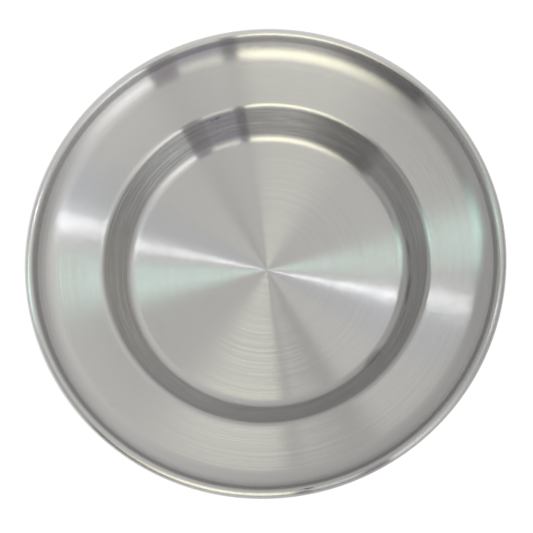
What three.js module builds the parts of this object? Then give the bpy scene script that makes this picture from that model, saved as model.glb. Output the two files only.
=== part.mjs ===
// A deep plate of brushed stainless steel: one round blank, pressed into a well with a wide
// flange, whose upturned edge is rolled over a stiffening wire.
// Millimetres, +Z up. The origin is on the plate's axis, on the face that rests on the table.

import * as THREE from "three";

// Driving dimensions, in millimetres and degrees.
const overallDiameter = 220; // across the outside of the rolled edge
const overallHeight = 25; // from the table to the crown of the rolled edge
const floorDiameter = 122.2; // flat part of the floor, up to the start of its bend
const sheetThickness = 0.6;

const wallSlope = 54.5; // slopes are measured up from the horizontal
const flangeInnerSlope = 1.3; // the flange is slightly dished
const flangeOuterSlope = 4.6;
const sweepSlope = 43; // the short cone that the flange sweeps up into
const sweepRun = 0.7; // straight part of that cone
const lipSlope = 60;
const lipRun = 2.6; // straight part of the upturned lip, below the rolled edge

// Bend radii are on the inside of each bend.
const floorBend = 5.5;
const shoulderBend = 3;
const sweepBend = 12.9;
const lipBend = 3.5;

const wireDiameter = 2.8;
const wireClearance = 0.25; // between the wire and the curl around it
const wireButtGap = 0.8; // between the two cut ends of the wire
const rawEdgeGap = 0.35; // between the blank's raw edge and the back of the lip

// Facets: steps around the axis, along each bend and around the wire.
const stepsAround = 72;
const floorBendSteps = 5;
const shoulderBendSteps = 5;
const flangeSteps = 3;
const sweepBendSteps = 5;
const lipBendSteps = 2;
const curlQuarterSteps = 4;
const wireSides = 10;

// The curl is the last bend of the sheet: round the wire, until the raw edge nearly meets the lip.
const curlInside = wireDiameter / 2 + wireClearance;
const curlMiddle = curlInside + sheetThickness / 2;
const curlOutside = curlInside + sheetThickness;
const curlOpening = Math.acos((curlInside - rawEdgeGap) / curlOutside);

const quarterTurn = Math.PI / 2;
const slopes = {
  floor: 0,
  wall: THREE.MathUtils.degToRad(wallSlope),
  flangeInner: THREE.MathUtils.degToRad(flangeInnerSlope),
  flangeOuter: THREE.MathUtils.degToRad(flangeOuterSlope),
  sweep: THREE.MathUtils.degToRad(sweepSlope),
  lip: THREE.MathUtils.degToRad(lipSlope),
  crown: 0,
  outermost: -quarterTurn,
  underCurl: -2 * quarterTurn,
};
slopes.flangeMean = (slopes.flangeInner + slopes.flangeOuter) / 2;
slopes.rawEdge = slopes.lip - (4 * quarterTurn - curlOpening);

// Points and directions in the section are (radius, height).
const along = (slope) => new THREE.Vector2(Math.cos(slope), Math.sin(slope));
const upFrom = (slope) => new THREE.Vector2(-Math.sin(slope), Math.cos(slope));

// How far the middle of the sheet moves in a bend from one slope to another.
function bendReach(from, to, inside) {
  const side = Math.sign(to - from);
  const radius = inside + sheetThickness / 2;
  return upFrom(from)
    .sub(upFrom(to))
    .multiplyScalar(side * radius);
}

// The wall and the flange take up whatever length the overall diameter and height leave them.
// The flange is an arc, whose chord lies along its mean slope.
function wallAndFlangeSizes() {
  const start = new THREE.Vector2(floorDiameter / 2, sheetThickness / 2);
  const curlCentre = new THREE.Vector2(overallDiameter / 2, overallHeight).subScalar(curlOutside);
  const lipTop = upFrom(slopes.lip).multiplyScalar(curlMiddle).add(curlCentre);
  const left = lipTop
    .sub(start)
    .sub(bendReach(slopes.floor, slopes.wall, floorBend))
    .sub(bendReach(slopes.wall, slopes.flangeInner, shoulderBend))
    .sub(bendReach(slopes.flangeOuter, slopes.sweep, sweepBend))
    .sub(along(slopes.sweep).multiplyScalar(sweepRun))
    .sub(bendReach(slopes.sweep, slopes.lip, lipBend))
    .sub(along(slopes.lip).multiplyScalar(lipRun));
  const wallWay = along(slopes.wall);
  const flangeWay = along(slopes.flangeMean);
  const across = flangeWay.cross(wallWay);
  const flangeChord = left.cross(wallWay) / across;
  const flangeTurn = slopes.flangeOuter - slopes.flangeInner;
  return {
    wallRun: flangeWay.cross(left) / across,
    flangeBend: flangeChord / 2 / Math.sin(flangeTurn / 2) - sheetThickness / 2,
    curlCentre,
  };
}

// Follows the middle of the sheet out from the axis, in straight runs and round bends,
// and keeps a point on each face of the sheet at every station.
class SheetSection {
  constructor(height) {
    this.place = new THREE.Vector2(0, height);
    this.slope = 0;
    this.upperFace = [];
    this.lowerFace = [];
    this.markStation();
  }

  markStation() {
    const half = upFrom(this.slope).multiplyScalar(sheetThickness / 2);
    this.upperFace.push(this.place.clone().add(half));
    this.lowerFace.push(this.place.clone().sub(half));
  }

  run(length) {
    this.place.addScaledVector(along(this.slope), length);
    this.markStation();
    return this;
  }

  bend(slope, inside, steps) {
    const from = this.slope;
    for (let step = 1; step <= steps; step++) {
      const next = from + ((slope - from) * step) / steps;
      this.place.add(bendReach(this.slope, next, inside));
      this.slope = next;
      this.markStation();
    }
    return this;
  }

  outline() {
    return [...this.lowerFace, ...this.upperFace.reverse()];
  }
}

// Turns a section about the axis. LatheGeometry turns about Y, so the result is stood up along Z.
function turned(outline) {
  return new THREE.LatheGeometry(outline, stepsAround).rotateX(Math.PI / 2);
}

// The pressed sheet: floor, wall, flange, sweep, lip and curl are one piece of metal.
function pressedDish(sizes) {
  const section = new SheetSection(sheetThickness / 2)
    .run(floorDiameter / 2)
    .bend(slopes.wall, floorBend, floorBendSteps)
    .run(sizes.wallRun)
    .bend(slopes.flangeInner, shoulderBend, shoulderBendSteps)
    .bend(slopes.flangeOuter, sizes.flangeBend, flangeSteps)
    .bend(slopes.sweep, sweepBend, sweepBendSteps)
    .run(sweepRun)
    .bend(slopes.lip, lipBend, lipBendSteps)
    .run(lipRun)
    .bend(slopes.crown, curlInside, curlQuarterSteps - 1)
    .bend(slopes.outermost, curlInside, curlQuarterSteps)
    .bend(slopes.underCurl, curlInside, curlQuarterSteps)
    .bend(slopes.rawEdge, curlInside, curlQuarterSteps);
  return turned(section.outline());
}

// The wire's centre line: a level circle, open at the butt between the two cut ends.
class WireLine extends THREE.Curve {
  constructor(radius) {
    super();
    this.radius = radius;
    this.gapAngle = wireButtGap / radius;
  }

  getPoint(share, target = new THREE.Vector3()) {
    const angle = this.gapAngle / 2 + share * (2 * Math.PI - this.gapAngle);
    return target.set(this.radius * Math.cos(angle), this.radius * Math.sin(angle), 0);
  }
}

function rimWire(radius) {
  const round = new THREE.Shape().absarc(0, 0, wireDiameter / 2, 0, 2 * Math.PI);
  return new THREE.ExtrudeGeometry(round, {
    steps: stepsAround,
    curveSegments: wireSides / 2,
    extrudePath: new WireLine(radius),
  });
}

const brushedSteel = new THREE.MeshStandardMaterial({
  color: 0xbbbab6,
  roughness: 0.38,
  metalness: 1,
});
const drawnWire = new THREE.MeshStandardMaterial({
  color: 0xa09f9c,
  roughness: 0.5,
  metalness: 1,
});

function named(name, geometry, material) {
  const mesh = new THREE.Mesh(geometry, material);
  mesh.name = name;
  return mesh;
}

const sizes = wallAndFlangeSizes();

const dish = named("pressed_dish", pressedDish(sizes), brushedSteel);
const wire = named("rim_wire", rimWire(sizes.curlCentre.x), drawnWire);
wire.position.z = sizes.curlCentre.y;

const deepPlate = new THREE.Group();
deepPlate.name = "deep_plate";
deepPlate.add(dish, wire);

export default deepPlate;
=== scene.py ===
import math

import bpy
import numpy as np
from mathutils import Matrix, Vector


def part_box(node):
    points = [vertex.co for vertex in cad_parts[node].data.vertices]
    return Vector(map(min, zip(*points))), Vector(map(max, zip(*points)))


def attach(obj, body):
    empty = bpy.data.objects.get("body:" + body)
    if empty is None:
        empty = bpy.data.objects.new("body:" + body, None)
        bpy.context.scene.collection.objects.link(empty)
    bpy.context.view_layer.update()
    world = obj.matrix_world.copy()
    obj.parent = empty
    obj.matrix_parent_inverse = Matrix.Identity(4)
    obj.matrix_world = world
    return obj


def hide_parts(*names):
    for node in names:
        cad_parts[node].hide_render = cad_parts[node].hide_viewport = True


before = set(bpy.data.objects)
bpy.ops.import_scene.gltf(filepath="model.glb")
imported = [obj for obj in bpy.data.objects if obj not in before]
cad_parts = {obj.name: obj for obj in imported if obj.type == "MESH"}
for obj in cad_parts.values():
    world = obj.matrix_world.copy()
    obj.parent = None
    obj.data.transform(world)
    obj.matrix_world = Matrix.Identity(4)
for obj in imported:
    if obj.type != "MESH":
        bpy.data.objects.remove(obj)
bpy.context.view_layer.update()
print("frame loaded:", sorted(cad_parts))

mm = 0.001                          # every length is in metres
sharpEdge = math.radians(50)        # edges that turn more than this stay crisp

# settings that many nodes share
plus = {"operation": "ADD"}
minus = {"operation": "SUBTRACT"}
times = {"operation": "MULTIPLY"}
timesPlus = {"operation": "MULTIPLY_ADD"}
larger = {"operation": "MAXIMUM"}
crossed = {"operation": "CROSS_PRODUCT"}
dotted = {"operation": "DOT_PRODUCT"}
scaled = {"operation": "SCALE"}
toUnit = {"operation": "NORMALIZE"}
lengthOf = {"operation": "LENGTH"}
smooth = {"interpolation_type": "SMOOTHSTEP"}
colourMix = {"data_type": "RGBA"}


def linearColour(hexText):
    # sRGB hex to linear: c / 12.92 below the toe, ((c + 0.055) / 1.055) ** 2.4 above it
    channels = np.array([int(hexText[i:i + 2], 16) / 255 for i in (1, 3, 5)])
    toe = channels / 12.92
    curve = ((channels + 0.055) / 1.055) ** 2.4
    return (*np.where(channels <= 0.04045, toe, curve).tolist(), 1.0)


def newMaterial(name):
    material = bpy.data.materials.new(name)
    material.use_nodes = True
    material.node_tree.nodes.clear()
    return material


def addNode(tree, kind, settings=None, **links):
    # adds one node: settings fill its properties, and links fill its sockets, by number as in _0 or by name
    # as in Base_Color, with a value, an output, or a node that gives its first working output
    node = tree.nodes.new(kind)
    for name, value in (settings or {}).items():
        setattr(node, name, value)
    for name, value in links.items():
        socket = node.inputs[int(name[1:]) if name[1:].isdigit() else name.replace("_", " ")]
        if isinstance(value, bpy.types.Node):
            value = next(output for output in value.outputs if output.enabled)
        if isinstance(value, bpy.types.NodeSocket):
            tree.links.new(value, socket)
        else:
            socket.default_value = value
    return node


def addMesh(name, points, faces, material):
    mesh = bpy.data.meshes.new(name)
    mesh.from_pydata(points, [], faces)
    mesh.validate()
    mesh.polygons.foreach_set("use_smooth", np.ones(len(mesh.polygons), dtype=bool))
    mesh.materials.append(material)
    piece = bpy.data.objects.new(name, mesh)
    bpy.context.scene.collection.objects.link(piece)
    return piece


def addLayer(piece, name, values):
    # one number for each point, for the material to read
    layer = piece.data.attributes.new(name, "FLOAT", "POINT")
    layer.data.foreach_set("value", values.astype(np.float32))


# camera: from the near side, high up, a little to the right, with the picture's up along +Y
cameraView = {
    "elevation": 76.4,      # degrees above the table
    "lean": 14.3,           # degrees that it stands to the right of straight in front
    "distance": 1184.5 * mm,
    "focalPixels": 2600,
    "framePixels": 533,
    "aim": (1.0 * mm, -3.5 * mm, 22.7 * mm),
}


def towardCamera(view):
    # (cos side cos rise, sin side cos rise, sin rise), with side measured from +X
    rise = math.radians(view["elevation"])
    side = math.radians(view["lean"] - 90)
    return Vector((math.cos(side) * math.cos(rise), math.sin(side) * math.cos(rise), math.sin(rise)))


def placeCamera(view):
    # axes: back from the plate, across = +Y x back, and above = back x across
    data = bpy.data.cameras.new("plateCamera")
    data.sensor_fit = "HORIZONTAL"
    data.angle = 2 * math.atan(view["framePixels"] / 2 / view["focalPixels"])
    camera = bpy.data.objects.new("plateCamera", data)
    bpy.context.scene.collection.objects.link(camera)
    back = towardCamera(view)
    across = Vector((0, 1, 0)).cross(back).normalized()
    above = back.cross(across)
    turn = Matrix((across, above, back)).transposed().to_4x4()
    camera.matrix_world = Matrix.Translation(Vector(view["aim"]) + back * view["distance"]) @ turn
    bpy.context.scene.camera = camera


placeCamera(cameraView)
print("camera placed")

# the pressed sheet, at the sizes of the solid that it stands for
dishSize = {
    "floorDiameter": 122.2 * mm,
    "sheet": 0.6 * mm,
    "wallSlope": 54.5,          # slopes in degrees up from the table
    "flangeInnerSlope": 1.3,    # the flange is a little dished
    "flangeOuterSlope": 4.6,
    "sweepSlope": 43,           # the short cone that the flange sweeps up into
    "sweepRun": 0.7 * mm,
    "lipSlope": 60,
    "lipRun": 2.6 * mm,
    "floorBend": 5.5 * mm,      # bend radii on the inside of each bend
    "shoulderBend": 3 * mm,
    "sweepBend": 12.9 * mm,
    "lipBend": 3.5 * mm,
    "curlInside": 1.65 * mm,
    "rawEdgeGap": 0.35 * mm,    # between the raw edge and the back of the lip
    "stepsAround": 288,
    # steps along each stretch of the section, from the axis out
    "steps": {
        "floor": 16, "floorBend": 16, "wall": 8, "shoulderBend": 14, "flange": 16,
        "sweepBend": 20, "sweepRun": 2, "lipBend": 10, "lipRun": 2, "curl": 48,
    },
}


def headingOf(slope):
    # unit vector along the sheet, (cosine, sine) of its slope
    return np.stack([np.cos(slope), np.sin(slope)], axis=-1)


def upwardOf(slope):
    # unit vector out of the sheet's upper face, a quarter turn on from the heading
    return np.stack([-np.sin(slope), np.cos(slope)], axis=-1)


def sheetSection(size, outerRadius, crownHeight):
    # middle line of the sheet as (radius, height): straight runs, and bends that move it by
    # bend radius x (upward at the start - upward at the end). The wall's length and the flange's chord
    # close it to the outer radius and the crown height. Gives the line, its slopes and where stretches end.
    half = size["sheet"] / 2
    wall, inner, outer, sweep, lip = np.radians([size[part + "Slope"] for part in (
        "wall", "flangeInner", "flangeOuter", "sweep", "lip")])
    curlOutside = size["curlInside"] + size["sheet"]
    opening = math.acos((size["curlInside"] - size["rawEdgeGap"]) / curlOutside)
    rawEdge = lip - (2 * math.pi - opening)

    def bendReach(start, end, inside):
        # (inside + half) x (upward at the start - upward at the end), signed by the way that it turns
        side = np.sign(np.asarray(end) - start)[..., None]
        return side * (inside + half) * (upwardOf(start) - upwardOf(end))

    curlCentre = np.array([outerRadius, crownHeight]) - curlOutside
    lipTop = curlCentre + upwardOf(lip) * (size["curlInside"] + half)
    left = lipTop - np.array([size["floorDiameter"] / 2, half]) - headingOf(lip) * size["lipRun"]
    left -= bendReach(0, wall, size["floorBend"])
    left -= bendReach(wall, inner, size["shoulderBend"])
    left -= headingOf(sweep) * size["sweepRun"]
    left -= bendReach(outer, sweep, size["sweepBend"])
    left -= bendReach(sweep, lip, size["lipBend"])
    chord = headingOf((inner + outer) / 2)
    wallRun, flangeChord = np.linalg.solve(np.stack([headingOf(wall), chord], axis=1), left)
    flangeArc = flangeChord / 2 / math.sin((outer - inner) / 2) - half

    stretches = {  # slope at the end, run length or inside radius
        "floor": (0, size["floorDiameter"] / 2),
        "floorBend": (wall, size["floorBend"]),
        "wall": (wall, wallRun),
        "shoulderBend": (inner, size["shoulderBend"]),
        "flange": (outer, flangeArc),
        "sweepBend": (sweep, size["sweepBend"]),
        "sweepRun": (sweep, size["sweepRun"]),
        "lipBend": (lip, size["lipBend"]),
        "lipRun": (lip, size["lipRun"]),
        "curl": (rawEdge, size["curlInside"]),
    }
    place = np.array([[0, half]])
    slope = np.zeros(1)
    ends = {}
    for name, (end, length) in stretches.items():
        steps = np.linspace(0, 1, size["steps"][name] + 1)[1:]
        slopes = slope[-1] + (end - slope[-1]) * steps
        if np.isclose(end, slope[-1]):
            path = place[-1] + headingOf(slopes) * length * steps[:, None]
        else:
            path = place[-1] + bendReach(slope[-1], slopes, length)
        place = np.vstack([place, path])
        slope = np.concatenate([slope, slopes])
        ends[name] = len(place) - 1
    return place, slope, ends


def dishSurface(size, outerRadius, crownHeight):
    # the closed outline, lower face out and upper face back, turned about Z:
    # point(i, j) = (radius_i cos angle_j, radius_i sin angle_j, height_i), one point at each pole.
    # Travel is the length along the middle line from the axis, and zones are where stretches lie on it.
    middle, slope, ends = sheetSection(size, outerRadius, crownHeight)
    half = upwardOf(slope) * size["sheet"] / 2
    lower = middle - half
    upper = middle + half
    outline = np.vstack([lower[1:], upper[:0:-1]])
    count = size["stepsAround"]
    angle = np.arange(count) * 2 * math.pi / count
    radius = outline[:, :1]
    height = np.repeat(outline[:, 1:], count, axis=1)
    rings = np.stack([radius * np.cos(angle), radius * np.sin(angle), height], axis=-1).reshape(-1, 3)
    poles = np.array([[0, 0, lower[0, 1]], [0, 0, upper[0, 1]]])
    points = np.vstack([rings, poles])

    index = np.arange(len(rings)).reshape(len(outline), count)
    onward = np.roll(index, -1, axis=1)
    quads = np.stack([index[:-1], onward[:-1], onward[1:], index[1:]], axis=-1).reshape(-1, 4)
    lowFan = np.stack([onward[0], index[0], np.full(count, len(rings))], axis=-1)
    highFan = np.stack([index[-1], onward[-1], np.full(count, len(rings) + 1)], axis=-1)
    faces = quads.tolist() + lowFan.tolist() + highFan.tolist()

    travel = np.concatenate([[0], np.cumsum(np.linalg.norm(np.diff(middle, axis=0), axis=1))])
    zones = {"wall": (travel[ends["floorBend"]], travel[ends["wall"]]), "curl": travel[ends["lipRun"]]}
    travel = np.concatenate([travel[1:], travel[:0:-1]])
    travel = np.concatenate([np.repeat(travel, count), [0, 0]])
    return points, faces, travel, zones


steelLook = {
    "colour": "#bbbab8",
    "steepPaintedReflectionColour": "#bab9b9",           # painted reflection: the wall and the lip are tinted a little cooler
    "steepUpward": (0.9, 0.7),          # upward part of the normal where that begins and is full
    "roughness": 0.15,
    "anisotropic": 1.0,
    "anisotropicTurn": 0.25,            # of a full turn, so that light smears across the lines
    # lines that run around the plate: spacing, how often they break, finer octaves
    "strokeLines": (0.03 * mm, 400, 0),     # the brush strokes, seen only as a smear of light
    "ringLines": (0.5 * mm, 0.25, 2),       # bundles of strokes, drawn as coarse as they need to show
    "wallLines": (1.2 * mm, 3, 3),          # the wall's coarser cuts, drawn as coarse as they need to show
    "strokeTilt": 0.8,                  # how far the strokes' sides lean
    "strokeSpread": 1.5,                # how far that differs from ring to ring
    "ringTilt": 0.12,                   # how far the rings' sides lean
    "ringTone": 0.108,                  # how far the rings differ in tone
    "wallTone": 0.52,                   # and how far the wall's lines do
    "wallFade": (2 * mm, 1 * mm),       # the wall's lines come in before it and go out after it
    "wallShade": 0.93,                  # the wall is darker toward the shoulder
    "shadeEnd": (1 * mm, 3 * mm),       # past the wall, where the shade is full and where it is gone
    "markFull": 0.33,                   # share of a mark's size that is at full strength
    "beadRoughness": 0.17,              # the rolled edge is scuffed duller, and its outside carries a painted reflection
    "beadFade": (-0.4 * mm, 0.6 * mm),  # from the start of the curl, where that begins and is full
    "beadPaintedReflection": (0.78, 1.6),            # tone of the painted reflection where it is least and most
    "beadReflectionSpan": (1.4 * mm, 2.6 * mm),    # where the painted reflection begins and is full, from the start of the curl
    "beadReflectionSide": 140,                 # degrees around, where the painted reflection is brightest
}

# marks on the upper side, lighter or darker than the steel around them
marks = [  # degrees around, radius, half length around, half width, degrees turned from the rings, tone
    (223.3, 95.8 * mm, 0.55 * mm, 0.5 * mm, 0, 0.7),        # specks on the flange
    (318.7, 78.1 * mm, 0.45 * mm, 0.45 * mm, 0, 0.8),
    (107.9, 73.3 * mm, 2.0 * mm, 0.5 * mm, 5, 0.6),         # smudges on the wall
    (110.0, 73.0 * mm, 0.7 * mm, 0.5 * mm, 0, 0.62),
    (307.7, 72.9 * mm, 0.9 * mm, 0.6 * mm, 0, 0.82),
    (42.4, 72.8 * mm, 0.8 * mm, 0.6 * mm, 0, 0.84),
    (318.9, 64.3 * mm, 8.0 * mm, 2.4 * mm, 0, 0.68),        # darker patches along the foot of the wall
    (304.9, 66.5 * mm, 6.0 * mm, 0.5 * mm, 0, 0.86),
    (350.2, 66.2 * mm, 9.5 * mm, 0.9 * mm, 0, 0.66),
    (7.7, 66.1 * mm, 7.5 * mm, 0.7 * mm, 0, 0.7),
    (264.3, 68.6 * mm, 2.2 * mm, 0.3 * mm, 25, 1.2),        # scratches on the wall
    (257.6, 63.3 * mm, 2.5 * mm, 0.35 * mm, -15, 1.14),
    (243.1, 68.6 * mm, 1.5 * mm, 0.3 * mm, 30, 1.14),
    (288.4, 69.8 * mm, 2.4 * mm, 0.35 * mm, 30, 1.12),
    (280.7, 107.6 * mm, 3.2 * mm, 0.36 * mm, -3, 0.3),      # the nick in the rolled edge
]


def brushedStainless(look, zones):
    # brushed stainless steel, spun against an abrasive: fine rings that smear light across
    # the brush lines into spokes, and hold it tight along them
    material = newMaterial("brushedStainless")
    tree = material.node_tree
    spot = addNode(tree, "ShaderNodeTexCoord").outputs["Object"]
    travel = addNode(tree, "ShaderNodeAttribute", {"attribute_name": "travel"}).outputs["Fac"]
    facing = addNode(tree, "ShaderNodeNewGeometry").outputs["Normal"]
    upward = addNode(tree, "ShaderNodeSeparateXYZ", Vector=facing).outputs["Z"]
    around = addNode(tree, "ShaderNodeVectorMath", crossed, _0=(0, 0, 1), _1=spot)
    around = addNode(tree, "ShaderNodeVectorMath", toUnit, _0=around)

    def ringNoise(spacing, breaks, octaves):
        # noise - 1/2 over (travel / spacing, breaks x direction around the plate): lines that run around it
        along = addNode(tree, "ShaderNodeMath", {"operation": "DIVIDE"}, _0=travel, _1=spacing)
        along = addNode(tree, "ShaderNodeCombineXYZ", Z=along)
        place = addNode(tree, "ShaderNodeVectorMath", timesPlus, _0=around, _1=(breaks, breaks, 0), _2=along)
        noise = addNode(tree, "ShaderNodeTexNoise", Vector=place, Scale=1.0, Detail=octaves)
        return addNode(tree, "ShaderNodeMath", minus, _0=noise, _1=0.5)

    # line sides: the normal leans across the lines by
    # strokes x (strokeTilt + strokeSpread x rings) + ringTilt x rings
    strokes = ringNoise(*look["strokeLines"])
    rings = ringNoise(*look["ringLines"])
    tilt = addNode(tree, "ShaderNodeMath", timesPlus, _0=rings,
                   _1=look["strokeSpread"], _2=look["strokeTilt"])
    lean = addNode(tree, "ShaderNodeMath", times, _0=strokes, _1=tilt)
    lean = addNode(tree, "ShaderNodeMath", timesPlus, _0=rings, _1=look["ringTilt"], _2=lean)
    across = addNode(tree, "ShaderNodeVectorMath", crossed, _0=around, _1=facing)
    across = addNode(tree, "ShaderNodeVectorMath", scaled, _0=across, Scale=lean)
    leaning = addNode(tree, "ShaderNodeVectorMath", plus, _0=facing, _1=across)
    leaning = addNode(tree, "ShaderNodeVectorMath", toUnit, _0=leaning)

    # tone = 1 + ringTone x rings, and on the wall + wallTone x its own lines
    wallStart, wallEnd = zones["wall"]
    before, after = look["wallFade"]
    comes = addNode(tree, "ShaderNodeMapRange", smooth, Value=travel,
                    From_Min=wallStart - before, From_Max=wallStart)
    goes = addNode(tree, "ShaderNodeMapRange", smooth, Value=travel,
                   From_Min=wallEnd, From_Max=wallEnd + after, To_Min=1.0, To_Max=0.0)
    onWall = addNode(tree, "ShaderNodeMath", times, _0=comes, _1=goes)
    cuts = ringNoise(*look["wallLines"])
    cuts = addNode(tree, "ShaderNodeMath", times, _0=cuts, _1=look["wallTone"])
    tone = addNode(tree, "ShaderNodeMath", timesPlus, _0=rings, _1=look["ringTone"], _2=1.0)
    tone = addNode(tree, "ShaderNodeMath", timesPlus, _0=cuts, _1=onWall, _2=tone)

    # the shade grows up the wall and fades past it
    shadeFull, shadeGone = (wallEnd + past for past in look["shadeEnd"])
    grows = addNode(tree, "ShaderNodeMapRange", smooth, Value=travel, From_Min=wallStart, From_Max=shadeFull)
    fades = addNode(tree, "ShaderNodeMapRange", smooth, Value=travel,
                    From_Min=shadeFull, From_Max=shadeGone, To_Min=1.0, To_Max=0.0)
    shade = addNode(tree, "ShaderNodeMath", times, _0=grows, _1=fades)
    shade = addNode(tree, "ShaderNodeMath", timesPlus, _0=shade, _1=look["wallShade"] - 1, _2=1.0)
    tone = addNode(tree, "ShaderNodeMath", times, _0=tone, _1=shade)

    # each mark is an ellipse, full near its middle and gone at its rim, on faces that look up
    marked = 1.0
    for degrees, reach, halfLength, halfWidth, turned, strength in marks:
        angle = math.radians(degrees)
        ellipse = addNode(tree, "ShaderNodeMapping", {"vector_type": "TEXTURE"}, Vector=spot,
                          Location=(reach * math.cos(angle), reach * math.sin(angle), 0),
                          Rotation=(0, 0, angle + math.radians(turned)), Scale=(halfWidth, halfLength, 1))
        away = addNode(tree, "ShaderNodeVectorMath", lengthOf, _0=ellipse)
        patch = addNode(tree, "ShaderNodeMapRange", smooth, Value=away,
                        From_Min=look["markFull"], From_Max=1.0, To_Min=strength, To_Max=1.0)
        marked = addNode(tree, "ShaderNodeMath", times, _0=patch, _1=marked)
    above = addNode(tree, "ShaderNodeMath", {"operation": "GREATER_THAN"}, _0=upward, _1=0.0)
    change = addNode(tree, "ShaderNodeMath", minus, _0=marked, _1=1.0)
    change = addNode(tree, "ShaderNodeMath", timesPlus, _0=change, _1=above, _2=1.0)
    tone = addNode(tree, "ShaderNodeMath", times, _0=tone, _1=change)

    # the rolled edge: its outside carries a painted reflection, its tone going from least to most with the
    # cosine of the angle to the side where it is brightest
    fadeStart, fadeFull = (zones["curl"] + past for past in look["beadFade"])
    dull = addNode(tree, "ShaderNodeMapRange", smooth, Value=travel, From_Min=fadeStart, From_Max=fadeFull,
                   To_Min=look["roughness"], To_Max=look["beadRoughness"])
    dull = addNode(tree, "ShaderNodeMath", times, _0=dull, _1=tone)
    side = math.radians(look["beadReflectionSide"])
    least, most = look["beadPaintedReflection"]
    toward = addNode(tree, "ShaderNodeVectorMath", dotted, _0=around, _1=(-math.sin(side), math.cos(side), 0))
    reflectionAround = addNode(tree, "ShaderNodeMath", timesPlus, _0=toward,
                     _1=(most - least) / 2, _2=(most + least) / 2 - 1)
    # the painted reflection comes in over the outer part of the rolled edge
    reflectionStart, reflectionFull = (zones["curl"] + past for past in look["beadReflectionSpan"])
    paintedLight = addNode(tree, "ShaderNodeMapRange", smooth, Value=travel, From_Min=reflectionStart, From_Max=reflectionFull)
    paintedLight = addNode(tree, "ShaderNodeMath", timesPlus, _0=paintedLight, _1=reflectionAround, _2=1.0)
    tone = addNode(tree, "ShaderNodeMath", times, _0=tone, _1=paintedLight)

    # the steep wall and lip take a painted reflection tint, by how far their normal looks up
    steepStart, steepFull = look["steepUpward"]
    steep = addNode(tree, "ShaderNodeMapRange", Value=upward, From_Min=steepStart, From_Max=steepFull)
    colour = addNode(tree, "ShaderNodeMix", colourMix, _0=steep,
                     _6=linearColour(look["colour"]), _7=linearColour(look["steepPaintedReflectionColour"]))
    colour = addNode(tree, "ShaderNodeVectorMath", scaled, _0=colour, Scale=tone)
    steel = addNode(tree, "ShaderNodeBsdfPrincipled", Base_Color=colour, Metallic=1.0, Roughness=dull,
                    Anisotropic=look["anisotropic"], Anisotropic_Rotation=look["anisotropicTurn"],
                    Tangent=around, Normal=leaning)
    addNode(tree, "ShaderNodeOutputMaterial", Surface=steel)
    return material


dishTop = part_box("pressed_dish")[1]     # its x is the outer radius, its z the crown's height
dishPoints, dishFaces, dishTravel, dishZones = dishSurface(dishSize, dishTop.x, dishTop.z)
dish = addMesh("brushedDish", dishPoints, dishFaces, brushedStainless(steelLook, dishZones))
addLayer(dish, "travel", dishTravel)
dish.data.set_sharp_from_angle(angle=sharpEdge)
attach(dish, "root")
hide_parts("pressed_dish")
print("dish made:", len(dishPoints), "points, sheet length", dishTravel.max())

# the wire inside the rolled edge, seen only through the slit under it
wireSize = {
    "diameter": 2.8 * mm,
    "buttGap": 0.8 * mm,        # between the cut ends
    "stepsAlong": 240,
    "sides": 20,
}


def wireSurface(size, ringRadius, height):
    # a round bar bent to a ring, open at the butt: point(i, j) = ((ring + r cos side_j) cos angle_i,
    # (ring + r cos side_j) sin angle_i, height + r sin side_j), closed by one point at each cut end
    gap = size["buttGap"] / ringRadius
    count = size["sides"]
    cuts = np.array([gap / 2, 2 * math.pi - gap / 2])
    angle, side = np.meshgrid(np.linspace(*cuts, size["stepsAlong"] + 1),
                              np.arange(count) * 2 * math.pi / count, indexing="ij")
    radius = size["diameter"] / 2
    reach = ringRadius + radius * np.cos(side)
    rings = np.stack([reach * np.cos(angle), reach * np.sin(angle), height + radius * np.sin(side)], axis=-1)
    ends = np.stack([ringRadius * np.cos(cuts), ringRadius * np.sin(cuts), np.full(2, height)], axis=-1)
    points = np.vstack([rings.reshape(-1, 3), ends])

    index = np.arange(angle.size).reshape(angle.shape)
    onward = np.roll(index, -1, axis=1)
    quads = np.stack([index[:-1], index[1:], onward[1:], onward[:-1]], axis=-1).reshape(-1, 4)
    startFan = np.stack([index[0], onward[0], np.full(count, index.size)], axis=-1)
    endFan = np.stack([onward[-1], index[-1], np.full(count, index.size + 1)], axis=-1)
    return points, quads.tolist() + startFan.tolist() + endFan.tolist()


wireLook = {
    "colour": "#a09f9c",
    "roughness": 0.42,
    "line": 0.25 * mm,          # the die's lines, drawn as coarse as they need to show
    "octaves": 2,
    "noiseSpan": (0.25, 0.75),  # over this span of the noise
    "toneSpan": (0.85, 1.15),   # the tone goes over this span
}


def drawnSteelWire(look):
    # stainless wire drawn through a die: dull grey, with faint lengthwise lines from the die
    material = newMaterial("drawnSteelWire")
    tree = material.node_tree
    spot = addNode(tree, "ShaderNodeTexCoord").outputs["Object"]
    parts = addNode(tree, "ShaderNodeSeparateXYZ", Vector=spot).outputs
    reach = addNode(tree, "ShaderNodeCombineXYZ", X=parts["X"], Y=parts["Y"])
    reach = addNode(tree, "ShaderNodeVectorMath", lengthOf, _0=reach)
    place = addNode(tree, "ShaderNodeCombineXYZ", X=reach, Y=parts["Z"])
    lines = addNode(tree, "ShaderNodeTexNoise", Vector=place, Scale=1 / look["line"], Detail=look["octaves"])
    lowNoise, highNoise = look["noiseSpan"]
    lowTone, highTone = look["toneSpan"]
    tone = addNode(tree, "ShaderNodeMapRange", Value=lines, From_Min=lowNoise, From_Max=highNoise,
                   To_Min=lowTone, To_Max=highTone)
    colour = addNode(tree, "ShaderNodeVectorMath", scaled, _0=linearColour(look["colour"])[:3], Scale=tone)
    dull = addNode(tree, "ShaderNodeMath", times, _0=tone, _1=look["roughness"])
    steel = addNode(tree, "ShaderNodeBsdfPrincipled", Base_Color=colour, Metallic=1.0, Roughness=dull)
    addNode(tree, "ShaderNodeOutputMaterial", Surface=steel)
    return material


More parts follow.
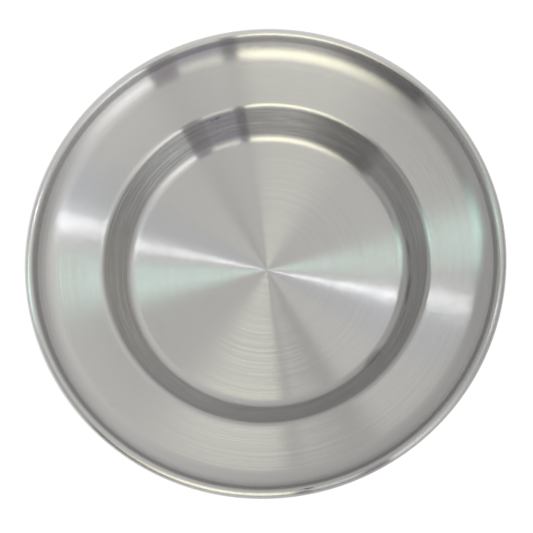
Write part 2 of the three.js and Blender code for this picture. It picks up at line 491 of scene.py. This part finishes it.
curlOutside = dishSize["curlInside"] + dishSize["sheet"]
wirePoints, wireFaces = wireSurface(wireSize, dishTop.x - curlOutside, dishTop.z - curlOutside)
wire = addMesh("drawnWire", wirePoints, wireFaces, drawnSteelWire(wireLook))
wire.data.set_sharp_from_angle(angle=sharpEdge)
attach(wire, "root")
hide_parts("rim_wire")
print("wire made:", len(wirePoints), "points")

# floor
floorSize = {
    "width": 6.0,
    "drop": 0.2 * mm,           # below the plate's underside
    "colour": "#f4f4f2",
    "shade": "#7a7a79",         # the matt part that is seen, so that a faint shadow stays
    "lift": 0.88,               # the white that is added to it
}


def paleFloor(size):
    # matt and pale to the light; to the eye and in reflections it is lifted to white,
    # with a faint shadow kept
    material = newMaterial("paleFloor")
    tree = material.node_tree
    ray = addNode(tree, "ShaderNodeLightPath").outputs
    seen = addNode(tree, "ShaderNodeMath", larger, _0=ray["Is Camera Ray"], _1=ray["Is Glossy Ray"])
    seen = addNode(tree, "ShaderNodeMath", larger, _0=seen, _1=ray["Is Transmission Ray"])
    matt = addNode(tree, "ShaderNodeBsdfDiffuse", Color=linearColour(size["colour"]))
    shade = addNode(tree, "ShaderNodeBsdfDiffuse", Color=linearColour(size["shade"]))
    white = addNode(tree, "ShaderNodeEmission", Color=(1, 1, 1, 1), Strength=size["lift"])
    lifted = addNode(tree, "ShaderNodeAddShader", _0=shade, _1=white)
    both = addNode(tree, "ShaderNodeMixShader", _0=seen, _1=matt, _2=lifted)
    addNode(tree, "ShaderNodeOutputMaterial", Surface=both)
    half = size["width"] / 2
    corners = [(x, y, -size["drop"]) for x, y in ((-half, -half), (half, -half), (half, half), (-half, half))]
    floor = addMesh("paleFloor", corners, [(0, 1, 2, 3)], material)


paleFloor(floorSize)
print("floor laid")

# light
skyLook = {
    "base": 0.63,
    "horizonColour": "#fbfbfd",
    "zenithColour": "#fffffc",
    # soft glows, or shades below zero: degrees around, degrees down from the zenith, strength, gather
    "glows": [
        (20, 18, 0.54, 6), (168, 26, -0.32, 18),
        (70, 80, 0.26, 7), (330, 80, 0.28, 10), (225, 80, -0.16, 10), (5, 80, -0.14, 14),
    ],
}


def studioSky(look):
    # brightness = base + the sum of strength x (cosine of the angle to the glow) ^ gather;
    # colour goes from the horizon's to the zenith's with height
    world = bpy.data.worlds.new("studioSky")
    bpy.context.scene.world = world
    world.use_nodes = True
    tree = world.node_tree
    tree.nodes.clear()
    direction = addNode(tree, "ShaderNodeTexCoord").outputs["Generated"]
    height = addNode(tree, "ShaderNodeSeparateXYZ", Vector=direction).outputs["Z"]
    bright = look["base"]
    for degrees, down, strength, gather in look["glows"]:
        axis = Vector((0, 0, 1))
        axis.rotate(Matrix.Rotation(math.radians(down), 3, "Y"))
        axis.rotate(Matrix.Rotation(math.radians(degrees), 3, "Z"))
        toward = addNode(tree, "ShaderNodeVectorMath", dotted, _0=direction, _1=axis)
        toward = addNode(tree, "ShaderNodeMath", larger, _0=toward, _1=0.0)
        share = addNode(tree, "ShaderNodeMath", {"operation": "POWER"}, _0=toward, _1=gather)
        bright = addNode(tree, "ShaderNodeMath", timesPlus, _0=share, _1=strength, _2=bright)
    colour = addNode(tree, "ShaderNodeMix", colourMix, _0=height,
                     _6=linearColour(look["horizonColour"]), _7=linearColour(look["zenithColour"]))
    sky = addNode(tree, "ShaderNodeBackground", Color=colour, Strength=bright)
    addNode(tree, "ShaderNodeOutputWorld", Surface=sky)


studioSky(skyLook)
print("sky set")

# panels and flags around the plate, each given by where the plate mirrors it to the camera: the picture
# angles and the slopes of the plate where its image fades in, is full, is still full, and has faded out.
# Slopes below 0 lie on the opposite side, and a nearer panel covers a farther one.
panelSteps = 25
panels = {  # distance, angles, slopes, brightness, colour
    "darkCorner": (3.0, (41, 48, 54, 78), (20, 26, 60, 64), 0.17, "#f3f1ff"),
    "rightSkirt": (2.97, (48, 74, 97.0, 97.6), (2, 10, 14, 16), 1.5, "#fffff2"),
    "rightPane": (2.94, (40, 80, 97.0, 97.6), (13, 16.5, 26, 28.5), 3.0, "#fffce4"),
    "rightPaneFoot": (2.91, (66, 80, 97.0, 97.6), (38, 42, 52, 54), 0.88, "#fffefa"),
    "middleSkirt": (2.88, (96, 98, 104, 118), (3, 11, 13, 14.5), 1.3, "#fffff8"),
    "middlePane": (2.85, (100.8, 101.4, 113.4, 114.0), (13, 16, 24, 27), 1.75, "#fefff6"),
    "middleFoot": (2.82, (100.8, 101.4, 113.4, 114.0), (36, 40, 56, 58), 0.7, "#f4f2ff"),
    "leftSkirt": (2.79, (121.0, 122.0, 126, 148), (8, 19, 24, 26), 1.1, "#fffff8"),
    "leftPane": (2.76, (120.9, 121.5, 126, 156), (20, 25, 32, 36), 2.3, "#ffffff"),
    "leftPaneFoot": (2.73, (120.9, 121.5, 126, 152), (38, 42, 54, 56), 1.15, "#ffffff"),
    "thinBar": (2.7, (96.9, 97.6, 100.8, 101.5), (13, 14.5, 48, 50), 0.4, "#fbf9ff"),
    "wideBar": (2.67, (113.2, 114.2, 120.7, 121.7), (13, 14.5, 48, 50), 0.5, "#fff7ff"),
    "leftGreen": (2.64, (174, 180, 187, 199), (-12, -9.5, -7, -4.5), 3.1, "#d8fff6"),
    "rightGreenEdge": (2.61, (2, 7, 12, 24), (11, 14, 18, 22), 1.65, "#d8fff2"),
    # a far lamp and the cool patch behind it, mirrored alike from both sides of the plate
    "streakHalo": (13.0, (140, 155, 166, 173), (2, 5, 9, 13), 1.12, "#e4ebff"),
    "streakLamp": (12.0, (165.4, 166.2, 168.4, 169.2), (4.4, 5.0, 6.0, 6.6), 38, "#f8faff"),
    # the bars go on close by, so that the near side of the plate mirrors them more than the far side
    "thinBarBack": (0.5, (93.5, 96.5, 99.5, 102.5), (2, 5, 10, 13), 0.35, "#ffffff"),
    "wideBarBack": (0.48, (98, 109, 119, 127), (2, 5, 10, 13), 0.44, "#ffffff"),
}


def mirrorPatch(name, distance, angles, slopes, brightness, colour):
    # normal at picture angle p and slope s: n = (-sin s cos p, -sin s sin p, cos s);
    # point = distance x (2 (n . v) n - v), with v toward the camera.
    # cover = t t (3 - 2 t), where t runs 0, 1, 1, 0 over the four edges, around x along
    view = np.array(towardCamera(cameraView))
    edges = np.arange(4)
    steps = np.linspace(0, 3, panelSteps)
    share = np.interp(steps, edges, (0, 1, 1, 0))
    share = share * share * (3 - 2 * share)
    angle, slope = np.meshgrid(*(np.interp(steps, edges, np.radians(span)) for span in (angles, slopes)))
    lean = np.sin(slope)
    normal = np.stack([-lean * np.cos(angle), -lean * np.sin(angle), np.cos(slope)], axis=-1)
    mirror = 2 * (normal @ view)[..., None] * normal - view
    index = np.arange(slope.size).reshape(slope.shape)
    quads = np.stack([index[:-1, :-1], index[:-1, 1:], index[1:, 1:], index[1:, :-1]], axis=-1)

    material = newMaterial(name)
    tree = material.node_tree
    cover = addNode(tree, "ShaderNodeAttribute", {"attribute_name": "cover"}).outputs["Fac"]
    clear = addNode(tree, "ShaderNodeBsdfTransparent")
    glow = addNode(tree, "ShaderNodeEmission", Color=linearColour(colour), Strength=brightness)
    both = addNode(tree, "ShaderNodeMixShader", _0=cover, _1=clear, _2=glow)
    addNode(tree, "ShaderNodeOutputMaterial", Surface=both)
    patch = addMesh(name, (mirror * distance).reshape(-1, 3), quads.reshape(-1, 4).tolist(), material)
    addLayer(patch, "cover", np.outer(share, share).ravel())
    patch.visible_camera = False


for name, values in panels.items():
    mirrorPatch(name, *values)
print("panels hung:", len(panels))

bpy.context.scene.view_settings.view_transform = "Standard"
